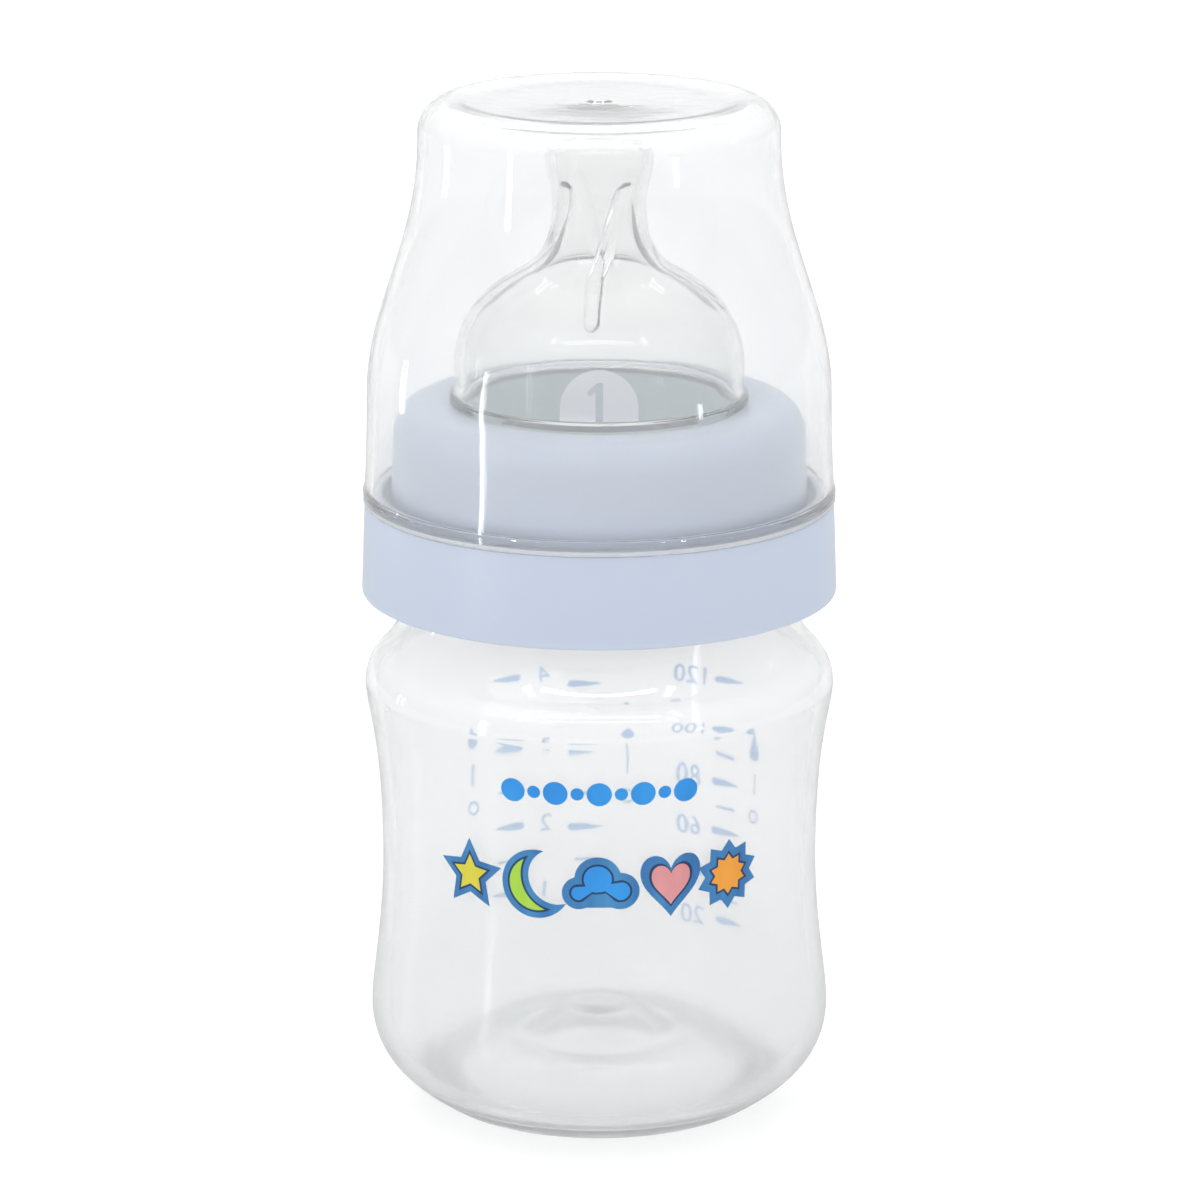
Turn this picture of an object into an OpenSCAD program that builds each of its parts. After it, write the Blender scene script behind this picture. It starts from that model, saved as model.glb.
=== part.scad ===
// Wide-neck baby bottle: bottle, screw ring, silicone teat and dome cap, with its printed scales.
// Millimetres, +Z up, origin at the centre of the foot. The front, with the motif, faces -Y.

/* [Bottle] */
// Radius of the bulge above the foot
bulge_r = 32.4; // [32:0.1:32.8]
// Height of the bulge's widest point
bulge_z = 12.7; // [12:0.1:13.5]
// Radius of the waist
waist_r = 30.6; // [30.4:0.1:31]
// Height of the waist
waist_z = 35.5; // [34:0.5:37]
// Radius of the shoulder
shoulder_r = 32.8; // [32.4:0.1:32.9]
// Height of the shoulder's widest point
shoulder_z = 59.8; // [59.4:0.1:60.2]
// Outer radius of the neck
neck_r = 25.6; // [25.4:0.1:25.7]
// Height of the neck's rim
rim_z = 95.6; // [95.2:0.1:95.8]
// Thickness of the bottle's wall
bottle_wall = 1.7; // [1.5:0.1:1.9]
// Thickness of the neck's wall
neck_wall = 2.1; // [2:0.1:2.2]

/* [Thread] */
// Rise of the thread in one turn
thread_pitch = 5; // [4.5:0.1:5.2]
// Turns of thread on the neck, and in the ring
thread_turns = 1.25; // [1:0.25:1.25]

/* [Screw ring] */
// Radius of the skirt at its lower edge
skirt_r = 33.1; // [33:0.1:33.6]
// Height of the skirt's lower edge
skirt_z = 73.4; // [73:0.1:74]
// Height of the ledge that the cap stands on
ledge_z = 86.2; // [86:0.1:86.6]
// Outer radius of the ring above the ledge
ring_r = 28.8; // [28.7:0.1:29.1]
// Height of the ring's top face
ring_z = 100.1; // [100:0.1:100.4]
// Radius of the hole that the teat comes through
hole_r = 20.2; // [20.1:0.1:20.3]

/* [Teat] */
// Radius of the dome
dome_r = 20; // [19.8:0.1:20]
// Radius of the narrowest part of the stem
stem_r = 6.4; // [5.8:0.1:6.4]
// Height of the tip
tip_z = 138.9; // [138:0.1:139.2]
// Thickness of the silicone in the dome and the stem
teat_wall = 1.3; // [1.2:0.1:1.5]
// Number of ribs inside the stem
rib_count = 4; // [3:1:5]
// Twist of the ribs along the stem, in degrees
rib_twist = 44; // [0:5:70]

/* [Dome cap] */
// Height of the cap's top
cap_z = 142.3; // [142:0.1:143]
// Radius of the cap's crown
crown_r = 24.8; // [24.4:0.1:25.2]
// Radius of the cap's straight wall
cap_r = 32.1; // [32:0.1:32.4]
// Thickness of the cap's wall
cap_wall = 1.2; // [1:0.1:1.3]

/* [Print] */
// Thickness of the printed ink
ink = 0.1; // [0.06:0.01:0.14]

/* [Hidden] */
$fn = 96;

// Running gap between parts that move on each other
gap = 0.1;
// Bottle: the standing band, the raised floor inside it and the boss in the middle
foot_r = 23.6;
foot_w = 1.2;
floor_r = 19.6;
floor_z = 6.6;
boss_r = 3.5;
boss_foot_r = 11.5;
boss_z = 10.8;
chin_r = 30.1;
chin_z = 65.4;
neck_root_z = 76;
bore_r = neck_r - neck_wall;
// Threads: the lower end of the neck's, and how far under it the ring's lies when the ring is tight
thread_z = 86.4;
thread_offset = 2;
thread_height = 1.3;
thread_root_w = 2.2;
thread_crest_w = 1.2;
thread_step = 9;
// Ring
sleeve_r = 27.3;
sleeve_low = 79;
skirt_wall = 1.8;
ring_plate = 1.7;
ring_round = 4;
rim_r = 31;
rim_w = 1;
rim_h = 1.7;
// Teat
flange_r = 26;
flange_low = rim_z;
flange_top = ring_z - ring_plate;
throat_r = 18.4;
valve_skirt = 3.4;
drink_hole_r = 0.25;
flare_r = 20.7;
flare_h = 1.4;
// Cap
lip_r = 32.8;
lip_h = 1.9;
crown_round = 4.6;
cap_recess = 0.8;
cap_recess_r = 19.4;

// ---------- outlines, as lists of [radius, height] ----------

// A Bezier curve from p to q with handles at c and d
function bend(p, c, d, q, n = 10) = [for (i = [0:n]) let (t = i / n, u = 1 - t)
    u * u * u * p + 3 * u * u * t * c + 3 * u * t * t * d + t * t * t * q];
// An arc of a circle, from angle a to angle b
function arc(c, r, a, b, n = 6) = [for (i = [0:n]) let (t = a + (b - a) * i / n)
    c + r * [cos(t), sin(t)]];
function reversed(list) = [for (i = [len(list) - 1:-1:0]) list[i]];
// Drops a point that repeats the one before it
function thinned(list) = [for (i = [0:len(list) - 1])
    if (i == 0 || norm(list[i] - list[max(0, i - 1)]) > 0.02) list[i]];
// Moves an outline to its left by a distance, or by what a table of [height, distance] gives
function shifted(list, by) = [for (i = [0:len(list) - 1]) let (
        p = list[i],
        run = list[min(i + 1, len(list) - 1)] - list[max(i - 1, 0)],
        move = is_list(by) ? lookup(p.y, by) : by)
    p + move * [-run.y, run.x] / norm(run)];

// The bottle's outside from the foot up to the neck
body_side = thinned(concat(
    bend([foot_r, 0], [28.5, 3.1], [bulge_r, 6.4], [bulge_r, bulge_z], 12),
    bend([bulge_r, bulge_z], [bulge_r, bulge_z + 4.1], [waist_r, waist_z - 11], [waist_r, waist_z], 12),
    bend([waist_r, waist_z], [waist_r, waist_z + 16], [shoulder_r - 0.3, shoulder_z - 4],
        [shoulder_r, shoulder_z], 12),
    bend([shoulder_r, shoulder_z], [shoulder_r, shoulder_z + 2.8], [chin_r + 1.5, chin_z - 1.5],
        [chin_r, chin_z], 8)));
neck_side = bend([chin_r, chin_z], [28.4, 67.4], [neck_r + 0.8, 71.5], [neck_r, neck_root_z], 8);
bottle_outside = thinned(concat(body_side, neck_side, [[neck_r, rim_z - 0.6], [neck_r - 0.6, rim_z]]));

// The bottle's underside from the axis to the foot
bottle_under = thinned(concat(
    [[0, boss_z]],
    bend([boss_r, boss_z], [boss_r + 2.6, boss_z - 0.2], [boss_foot_r - 4, floor_z - 0.4],
        [boss_foot_r, floor_z], 8),
    bend([boss_foot_r, floor_z], [boss_foot_r + 3, floor_z + 0.2], [floor_r, floor_z],
        [foot_r - foot_w, 0], 10)));

wall_by_z = [[0, bottle_wall], [shoulder_z, bottle_wall], [neck_root_z, neck_wall], [rim_z, neck_wall]];
groove_z = 2.7;
inside_floor = [for (p = shifted(bottle_under, bottle_wall)) if (p.x < foot_r - 1.6) p];
inside_wall = [for (p = shifted(concat(body_side, neck_side), wall_by_z)) if (p.y > groove_z) p];
bottle_inside = concat(inside_floor, inside_wall, [[bore_r, rim_z - 0.4], [bore_r + 0.4, rim_z]]);

// ---------- fill heights, worked out from the cavity ----------

level_step = 0.5;
wall_line = [for (p = inside_wall) [p.y, p.x]];
boss_line = [for (p = reversed(inside_floor)) if (p.x >= boss_r) [p.y, p.x]];
function slice_ml(z) = PI * level_step / 1000 * (pow(lookup(z, wall_line), 2)
    - (z < boss_z + bottle_wall ? pow(lookup(z, boss_line), 2) : 0));
levels = [for (i = 0, z = floor_z + bottle_wall, ml = 0; z < rim_z;
    ml = ml + slice_ml(z + level_step / 2), z = z + level_step, i = i + 1) [ml, z]];
function mark_z(ml) = lookup(ml, levels);

// ---------- threads ----------

// A helical ridge of trapezoid section from its root's radius to its crest's, fading out at both ends
module ridge(root, crest, low_z) {
    steps = round(360 * thread_turns / thread_step);
    root_half = thread_root_w / 2;
    crest_half = thread_crest_w / 2;
    points = [for (i = [0:steps]) let (
            a = i * thread_step,
            z = low_z + thread_pitch * a / 360,
            full = min(1, 0.3 + min(i, steps - i) / 4),
            top = root + (crest - root) * full)
        for (p = [[root, -root_half], [top, -crest_half], [top, crest_half], [root, root_half]])
            [p.x * cos(a), p.x * sin(a), z + p.y]];
    quads = [for (i = [0:steps - 1], k = [0:3]) let (n = (k + 1) % 4)
        [4 * i + k, 4 * i + n, 4 * i + 4 + n, 4 * i + 4 + k]];
    faces = concat([[3, 2, 1, 0]], quads, [[for (k = [0:3]) 4 * steps + k]]);
    polyhedron(points, crest > root ? faces : [for (f = faces) reversed(f)]);
}

// ---------- bottle ----------

module bottle() {
    color([0.93, 0.95, 0.96, 0.4]) union() {
        rotate_extrude() polygon(concat(bottle_under, bottle_outside, reversed(bottle_inside)));
        ridge(neck_r - 0.3, neck_r + thread_height, thread_z);
    }
}

// ---------- screw ring ----------

module screw_ring() {
    skirt_in = skirt_r - skirt_wall;
    color([0.8, 0.85, 0.93]) union() {
        rotate_extrude() polygon(concat(
            [[hole_r, flange_top], [hole_r, ring_z - 0.4], [hole_r + 0.4, ring_z]],
            arc([ring_r - ring_round - 0.2, ring_z - ring_round], ring_round, 90, 0, 8),
            [[ring_r, ledge_z], [rim_r - rim_w, ledge_z], [rim_r - rim_w, ledge_z + rim_h]],
            [[rim_r - 0.3, ledge_z + rim_h], [rim_r, ledge_z + rim_h - 0.3], [rim_r, ledge_z]],
            arc([skirt_r - 1.1, ledge_z - 0.6], 0.6, 90, 0, 3),
            arc([skirt_r - 0.8, skirt_z + 0.8], 0.8, 0, -90, 4),
            [[skirt_in, skirt_z], [skirt_in, ledge_z - skirt_wall]],
            [[sleeve_r + 1.6, ledge_z - skirt_wall], [sleeve_r + 1.4, sleeve_low]],
            [[sleeve_r, sleeve_low], [sleeve_r, flange_top - 2.2], [flange_r + 0.2, flange_top]]));
        ridge(sleeve_r + 0.3, sleeve_r - thread_height, thread_z - thread_offset);
    }
}

// ---------- teat ----------

// The outside of the silicone from the dome's foot up to the tip
teat_side = thinned(concat(
    bend([flare_r - 0.4, ring_z + flare_h], [dome_r - 0.3, ring_z + 2.6], [dome_r, ring_z + 3.4],
        [dome_r, ring_z + 4.8], 4),
    bend([dome_r, ring_z + 4.8], [dome_r, ring_z + 12], [16, ring_z + 15.6], [10.6, ring_z + 18.4], 12),
    bend([10.6, ring_z + 18.4], [7.8, ring_z + 19.9], [stem_r, ring_z + 23.4], [stem_r, ring_z + 27.6], 10),
    bend([stem_r, ring_z + 27.6], [stem_r, ring_z + 31], [stem_r + 1, tip_z - 7.6],
        [stem_r + 1, tip_z - 4.6], 6),
    bend([stem_r + 1, tip_z - 4.6], [stem_r + 1, tip_z - 1.2], [3.8, tip_z], [0, tip_z], 8)));
teat_lining = [for (p = shifted(teat_side, teat_wall)) [max(0, p.x), p.y]];

// One rib inside the stem: upright in the dome, leaning sideways up the stem
module teat_rib(azimuth) {
    steps = 16;
    sides = 8;
    rib_low = ring_z + 12.5;
    rib_len = 21;
    thick = 0.85;
    lining = [for (p = teat_lining) if (p.y < tip_z - 4) [p.y, p.x]];
    points = [for (i = [0:steps]) let (
            s = i / steps,
            z = rib_low + rib_len * s,
            bow = sqrt(max(0.12, 1 - pow(2 * s - 1, 8))),
            r = lookup(z, lining) - 0.1,
            middle = azimuth + rib_twist * pow(max(0, s - 0.15) / 0.85, 1.5))
        for (k = [0:sides - 1]) let (
            b = 360 * k / sides,
            out = r + thick * bow * cos(b),
            a = middle + thick * bow * sin(b) / r * 180 / PI)
        [out * cos(a), out * sin(a), z]];
    quads = [for (i = [0:steps - 1], k = [0:sides - 1]) let (n = (k + 1) % sides)
        [sides * i + k, sides * i + sides + k, sides * i + sides + n, sides * i + n]];
    polyhedron(points, concat(
        [[for (k = [0:sides - 1]) k]],
        quads,
        [[for (k = [sides - 1:-1:0]) sides * steps + k]]));
}

module teat() {
    color([0.9, 0.91, 0.9, 0.5]) union() {
        difference() {
            rotate_extrude() polygon(concat(
                [[throat_r, flange_low - valve_skirt], [throat_r + 1.2, flange_low - valve_skirt]],
                [[throat_r + 1.9, flange_low - 1], [bore_r - 1.2, flange_low - 1], [bore_r - 0.4, flange_low]],
                [[flange_r, flange_low], [flange_r, flange_top]],
                [[hole_r - gap, flange_top], [hole_r - gap, ring_z + gap]],
                [[flare_r - 0.3, ring_z + gap], [flare_r, ring_z + gap + 0.4], [flare_r, ring_z + flare_h - 0.4]],
                teat_side,
                reversed(teat_lining),
                [[throat_r, ring_z - 0.4]]));
            translate([0, 0, tip_z - 3]) cylinder(r = drink_hole_r, h = 4, $fn = 24);
        }
        for (i = [0:rib_count - 1]) teat_rib(-90 + i * 360 / rib_count);
    }
}

// ---------- dome cap ----------

// The outside of the cap from above its lip up to the flat crown
cap_side = thinned(concat(
    bend([cap_r + 0.5, ledge_z + lip_h], [cap_r + 0.2, ledge_z + 5], [cap_r + 0.1, ring_z - 3],
        [cap_r, ring_z + 2], 4),
    bend([cap_r, ring_z + 2], [cap_r - 0.3, ring_z + 14], [crown_r, cap_z - 20], [crown_r, cap_z - 5], 16),
    arc([crown_r - crown_round, cap_z - crown_round], crown_round, 0, 90, 8)));

module dome_cap() {
    cap_lining = shifted(cap_side, cap_wall);
    floor_low = cap_z - cap_recess - cap_wall;
    color([0.95, 0.96, 0.97, 0.3]) rotate_extrude() polygon(concat(
        [[rim_r + gap, ledge_z], [lip_r - 0.3, ledge_z], [lip_r, ledge_z + 0.3]],
        [[lip_r, ledge_z + lip_h - 0.4], [lip_r - 0.2, ledge_z + lip_h]],
        cap_side,
        bend([cap_recess_r + 0.6, cap_z], [cap_recess_r, cap_z], [cap_recess_r, cap_z - cap_recess],
            [cap_recess_r - 1, cap_z - cap_recess], 4),
        [[0, cap_z - cap_recess]],
        [[0, floor_low], [cap_recess_r - 0.6, floor_low]],
        reversed([for (p = cap_lining) if (p.x > cap_recess_r + 0.8) p]),
        [[rim_r + gap, ledge_z + lip_h]]));
}

// ---------- printed ink ----------

// Cuts a thin layer on the bottle's outside to the shape of its children
module printed() {
    label_side = [for (p = body_side) if (p.y > 11 && p.y < 62) p];
    intersection() {
        rotate_extrude() polygon(concat(shifted(label_side, -ink), reversed(label_side)));
        union() children();
    }
}

// Stands a flat drawing before the bottle at an azimuth, x to the right as seen from outside, y up
module facing(azimuth, z) {
    rotate([0, 0, azimuth]) translate([waist_r - 8, 0, z]) rotate([90, 0, 90])
        linear_extrude(20) children();
}

// A scale's thick mark, blunt at the left and pointed at the right
module main_mark(length) {
    translate([0.5 - length / 2, 0]) circle(r = 0.5, $fn = 24);
    polygon([[0.5 - length / 2, -0.5], [length / 2, 0], [0.5 - length / 2, 0.5]]);
}

module minor_mark() {
    square([3.2, 0.3], center = true);
}

ml_azimuth = 51;
us_azimuth = 117;
uk_azimuth = 94;
ML_PER_US_OZ = 29.57;
ML_PER_UK_OZ = 28.41;

module ml_scale_print() {
    color([0.45, 0.68, 0.85]) printed() {
        for (ml = [20:20:120]) facing(ml_azimuth, mark_z(ml)) mirror([1, 0]) main_mark(5);
        for (ml = [30:20:90]) facing(ml_azimuth, mark_z(ml)) minor_mark();
    }
}

// Ounce marks at an azimuth, with points to the right, or to the left when flipped
module ounce_marks(azimuth, ml_per_oz, flip) {
    for (oz = [1:4]) facing(azimuth, mark_z(oz * ml_per_oz)) mirror([flip, 0]) main_mark(4.8);
    for (oz = [1.5:2.5]) facing(azimuth, mark_z(oz * ml_per_oz)) minor_mark();
}

module us_oz_scale_print() {
    color([0.35, 0.65, 0.88]) printed() ounce_marks(us_azimuth, ML_PER_US_OZ, 0);
}

module uk_oz_scale_print() {
    color([0.35, 0.65, 0.88]) printed() ounce_marks(uk_azimuth, ML_PER_UK_OZ, 1);
}

// The motif's shapes, each centred
module cloud() {
    translate([-2.8, -1]) circle(r = 2.3, $fn = 32);
    translate([-0.2, 1]) circle(r = 3.2, $fn = 32);
    translate([2.9, -0.7]) circle(r = 2.5, $fn = 32);
    translate([-2.8, -3.3]) square([5.6, 3]);
}

module star(points, outer, inner) {
    polygon([for (i = [0:2 * points - 1]) let (r = i % 2 == 0 ? outer : inner, a = 90 + 180 * i / points)
        [r * cos(a), r * sin(a)]]);
}

module moon() {
    difference() {
        translate([1.2, 0]) circle(r = 4.9, $fn = 48);
        translate([4.1, 1.2]) circle(r = 4, $fn = 48);
    }
}

module heart() {
    for (s = [-1, 1]) translate([1.9 * s, 1.7]) circle(r = 2.5, $fn = 32);
    polygon([[-4.15, 0.6], [0, -4.8], [4.15, 0.6], [1.9, 2.7], [-1.9, 2.7]]);
}

// The motif, on the front: a cloud between two pairs of shapes, under a row of dots
motif_z = 39.5;
motif_azimuths = [-125, -108.5, -90, -71.5, -55];
dots_z = 52.9;
dots_step = 5.4;
fill_scale = 0.62;

// A shape of the motif, by its place from the left
module motif_shape(i) {
    if (i == 0) star(5, 5.2, 2.6);
    if (i == 1) moon();
    if (i == 2) cloud();
    if (i == 3) heart();
    if (i == 4) star(10, 5, 3.5);
}

// The coloured middle of a shape
module motif_fill(i) {
    scale(fill_scale) translate(i == 1 ? [-1.2, 0] : [0, 0]) motif_shape(i);
}

module filled(i) {
    printed() facing(motif_azimuths[i], motif_z) motif_fill(i);
}

module sky_print() {
    color([0.15, 0.6, 0.9]) {
        printed() for (i = [-4:4]) facing(-90 + dots_step * i, dots_z)
            circle(r = i % 2 == 0 ? 1.7 : 0.9, $fn = 32);
        filled(2);
    }
}

module outline_print() {
    color([0.2, 0.5, 0.75]) printed()
        for (i = [0:4]) facing(motif_azimuths[i], motif_z) difference() {
            motif_shape(i);
            motif_fill(i);
        }
}

module yellow_print() {
    color([0.9, 0.85, 0.25]) filled(0);
}

module lime_print() {
    color([0.65, 0.85, 0.3]) filled(1);
}

module pink_print() {
    color([0.9, 0.6, 0.65]) filled(3);
}

module orange_print() {
    color([0.95, 0.65, 0.2]) filled(4);
}

bottle();
screw_ring();
teat();
dome_cap();
sky_print();
outline_print();
yellow_print();
lime_print();
pink_print();
orange_print();
ml_scale_print();
us_oz_scale_print();
uk_oz_scale_print();
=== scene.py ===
"""A baby bottle: four smooth mouldings, their print and a small studio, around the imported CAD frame.

Outlines are lists of (radius, height) in millimetres, turned about the bottle's axis. The front faces -Y.
"""
import bisect
import math

import bmesh
import bpy
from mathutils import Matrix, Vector


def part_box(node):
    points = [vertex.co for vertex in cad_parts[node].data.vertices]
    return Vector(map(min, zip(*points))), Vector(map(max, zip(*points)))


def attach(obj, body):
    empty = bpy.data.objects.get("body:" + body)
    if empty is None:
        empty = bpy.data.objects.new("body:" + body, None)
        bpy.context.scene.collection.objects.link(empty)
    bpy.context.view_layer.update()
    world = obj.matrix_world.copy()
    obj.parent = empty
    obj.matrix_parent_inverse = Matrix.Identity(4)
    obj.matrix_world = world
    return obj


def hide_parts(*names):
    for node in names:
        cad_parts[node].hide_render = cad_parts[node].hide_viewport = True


MM = 0.001
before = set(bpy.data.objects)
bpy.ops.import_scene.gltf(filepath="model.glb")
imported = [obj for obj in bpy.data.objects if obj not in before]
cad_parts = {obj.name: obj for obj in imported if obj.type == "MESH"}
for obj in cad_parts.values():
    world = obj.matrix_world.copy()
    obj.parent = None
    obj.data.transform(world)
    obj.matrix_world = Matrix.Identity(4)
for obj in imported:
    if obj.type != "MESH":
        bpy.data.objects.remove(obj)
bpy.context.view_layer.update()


# ---------- sizes, from the frame ----------

def low(node):
    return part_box(node)[0] / MM


def high(node):
    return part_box(node)[1] / MM


RIM_Z = high("bottle").z
SHOULDER_R = high("bottle").x
SKIRT_R = high("screw_ring").x
SKIRT_Z = low("screw_ring").z
RING_Z = high("screw_ring").z
TIP_Z = high("teat").z
FLANGE_R = high("teat").x
CAP_Z = high("dome_cap").z
LEDGE_Z = low("dome_cap").z

# Bottle
FOOT_R = 23.6
FOOT_W = 1.2
FLOOR_R = 19.6
FLOOR_Z = 6.6
BOSS_R = 3.5
BOSS_FOOT_R = 11.5
BOSS_Z = 10.8
BULGE = (32.4, 12.7)
WAIST = (30.6, 35.5)
SHOULDER_Z = 59.8
CHIN = (30.1, 65.4)
NECK_R = 25.6
NECK_ROOT_Z = 76
BOTTLE_WALL = 1.7
NECK_WALL = 2.1
BORE_R = NECK_R - NECK_WALL
# Threads
PITCH = 5
THREAD_TURN = 450
THREAD_Z = 86.4
THREAD_OFFSET = 2
THREAD_HEIGHT = 1.3
THREAD_ROOT = 1.1
THREAD_CREST = 0.6
# Ring
LEDGE_IN = 1.8
SLEEVE_R = 27.3
SLEEVE_LOW = 79
PLATE = 1.7
RING_R = 28.8
RING_ROUND = 4
SNAP_R = 31
HOLE_R = 20.2
# Teat
DOME_R = 20
STEM_R = 6.4
TEAT_WALL = 1.3
TIP_HOLE_R = 0.25
THROAT_R = 18.4
FLARE_R = 20.7
RIBS = 4
RIB_LOW = RING_Z + 12.5
RIB_HIGH = RING_Z + 31.4
RIB_TWIST = 44
RIB_AZIMUTH = -94
RIB_HALF = 1.2
RIB_H = 1.05
# Cap
CROWN_R = 24.8
CROWN_ROUND = 4.6
CAP_R = 32.1
CAP_WALL = 1.2
LIP_R = 32.8
LIP_H = 1.9
LIP_EDGE = 0.7
RECESS_R = 19.4
RECESS = 0.6


# ---------- outlines ----------

def mix(p, q, t):
    return (p[0] + (q[0] - p[0]) * t, p[1] + (q[1] - p[1]) * t)


def bend(p, c, d, q, n=24):
    """A Bezier curve from p to q with handles at c and d, without its last point."""
    line = []
    for i in range(n):
        t = i / n
        u = 1 - t
        line.append(tuple(u ** 3 * a + 3 * u * u * t * b + 3 * u * t * t * e + t ** 3 * f
                          for a, b, e, f in zip(p, c, d, q)))
    return line


def straight(p, q, step):
    """Evenly spaced points from p towards q, without q."""
    n = max(1, round(math.dist(p, q) / step))
    return [mix(p, q, i / n) for i in range(n)]


def shifted(line, by):
    """Moves a line to its left by a distance, or by what the function gives for a height."""
    moved = []
    for i, p in enumerate(line):
        a = line[max(i - 1, 0)]
        b = line[min(i + 1, len(line) - 1)]
        run = math.dist(a, b)
        d = by(p[1]) if callable(by) else by
        moved.append((p[0] - d * (b[1] - a[1]) / run, p[1] + d * (b[0] - a[0]) / run))
    return moved


def eased(line, radius=0.3, closed=False, sharp=18, steps=4):
    """Rounds each corner that turns by more than "sharp" degrees."""
    n = len(line)
    out = []
    for i, p in enumerate(line):
        if not closed and i in (0, n - 1):
            out.append(p)
            continue
        a, b = line[i - 1], line[(i + 1) % n]
        before, after = math.dist(a, p), math.dist(p, b)
        turn = math.degrees(math.atan2(b[1] - p[1], b[0] - p[0]) - math.atan2(p[1] - a[1], p[0] - a[0]))
        turn = abs((turn + 180) % 360 - 180)
        if turn < sharp:
            out.append(p)
            continue
        cut = min(radius * math.tan(math.radians(turn) / 2), 0.45 * before, 0.45 * after)
        start, end = mix(p, a, cut / before), mix(p, b, cut / after)
        for k in range(steps + 1):
            t = k / steps
            out.append(mix(mix(start, p, t), mix(p, end, t), t))
    return out


def radius_at(line, z):
    """The first value of a line's points at a second value, which rises along it: a radius at a height."""
    heights = [p[1] for p in line]
    i = min(max(bisect.bisect(heights, z), 1), len(line) - 1)
    a, b = line[i - 1], line[i]
    return mix(a, b, (z - a[1]) / (b[1] - a[1]))[0]


BODY_SIDE = (
    bend((FOOT_R, 0), (28.5, 3.1), (BULGE[0], 6.4), BULGE)
    + bend(BULGE, (BULGE[0], BULGE[1] + 4.1), (WAIST[0], WAIST[1] - 11), WAIST)
    + bend(WAIST, (WAIST[0], WAIST[1] + 16), (SHOULDER_R - 0.3, SHOULDER_Z - 4), (SHOULDER_R, SHOULDER_Z))
    + bend((SHOULDER_R, SHOULDER_Z), (SHOULDER_R, SHOULDER_Z + 2.8), (CHIN[0] + 1.5, CHIN[1] - 1.5), CHIN)
    + bend(CHIN, (28.4, 67.4), (NECK_R + 0.8, 71.5), (NECK_R, NECK_ROOT_Z), 16)
    + [(NECK_R, NECK_ROOT_Z)])


def wall_at(z):
    """The bottle's wall, which thickens from the shoulder to the neck."""
    rise = min(max((z - SHOULDER_Z) / (NECK_ROOT_Z - SHOULDER_Z), 0), 1)
    return BOTTLE_WALL + (NECK_WALL - BOTTLE_WALL) * rise


UNDERSIDE = (
    [(0, BOSS_Z), (BOSS_R * 0.6, BOSS_Z)]
    + bend((BOSS_R, BOSS_Z), (BOSS_R + 2.6, BOSS_Z - 0.2), (BOSS_FOOT_R - 4, FLOOR_Z - 0.4),
           (BOSS_FOOT_R, FLOOR_Z))
    + bend((BOSS_FOOT_R, FLOOR_Z), (BOSS_FOOT_R + 3, FLOOR_Z + 0.2), (FLOOR_R, FLOOR_Z),
           (FOOT_R - FOOT_W, 0))
    + [(FOOT_R - FOOT_W, 0)])
FLOOR_TOP = [p for p in shifted(UNDERSIDE, BOTTLE_WALL) if p[0] < FOOT_R - 1.6]
INSIDE_WALL = [p for p in shifted(BODY_SIDE, wall_at) if p[1] > 2.7]
GROOVE_Z = 2.6
GROOVE_FLOOR = [p for p in FLOOR_TOP if p[0] < 20.5]
GROOVE_WALL = [p for p in INSIDE_WALL if p[1] > 5.5]
LINING = (
    GROOVE_FLOOR
    + bend(GROOVE_FLOOR[-1], (23.5, GROOVE_Z), (26.2, GROOVE_Z - 0.2), GROOVE_WALL[0])[1:]
    + GROOVE_WALL)


def fill_heights(step=0.25):
    """Pairs of (height, millilitres below it) for the bottle's cavity, up to the root of its neck."""
    boss = sorted((p for p in FLOOR_TOP if p[0] >= BOSS_R), key=lambda p: (p[1], p[0]))
    pairs = []
    z, volume = FLOOR_Z + BOTTLE_WALL, 0
    while z < NECK_ROOT_Z:
        pairs.append((z, volume))
        outer = radius_at(INSIDE_WALL, z)
        inner = radius_at(boss, z) if z < BOSS_Z + BOTTLE_WALL else 0
        volume += math.pi * (outer ** 2 - inner ** 2) * step / 1000
        z += step
    return pairs


FILL = fill_heights()


def mark_z(ml):
    """The height of the milk's surface at a volume."""
    return radius_at(FILL, ml)


# ---------- meshes ----------

def add_object(name, mesh, body, material, *nodes, slot=None):
    """Puts a mesh into the scene, on a body, in place of CAD nodes."""
    piece = bpy.data.objects.new(name, mesh)
    bpy.context.scene.collection.objects.link(piece)
    mesh.materials.append(material)
    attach(piece, body)
    if nodes:
        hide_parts(*nodes)
    return piece


def lathe(name, line, closed=False, steps=256, swell=None):
    """A mesh turned from an outline; swell(azimuth, radius, height, index) is added to a radius."""
    bm = bmesh.new()
    rings = []
    for i, (r, z) in enumerate(line):
        if r < 1e-6:
            rings.append([bm.verts.new((0, 0, z * MM))])
            continue
        ring = []
        for k in range(steps):
            a = 2 * math.pi * k / steps
            out = r + (swell(a, r, z, i) if swell else 0)
            ring.append(bm.verts.new((out * math.cos(a) * MM, out * math.sin(a) * MM, z * MM)))
        rings.append(ring)
    pairs = list(zip(rings, rings[1:] + rings[:1] if closed else rings[1:]))
    for a, b in pairs:
        for k in range(steps):
            n = (k + 1) % steps
            corners = [a[k % len(a)], a[n % len(a)], b[n % len(b)], b[k % len(b)]]
            bm.faces.new(dict.fromkeys(corners))
    bmesh.ops.recalc_face_normals(bm, faces=bm.faces)
    mesh = bpy.data.meshes.new(name)
    bm.to_mesh(mesh)
    bm.free()
    mesh.shade_smooth()
    return mesh


def second_material(mesh, material, below):
    """Gives the faces that lie wholly under a height another material."""
    mesh.materials.append(material)
    for face in mesh.polygons:
        if max(mesh.vertices[v].co.z for v in face.vertices) < below * MM:
            face.material_index = 1


def smooth_step(t):
    t = min(max(t, 0), 1)
    return t * t * (3 - 2 * t)


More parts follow.
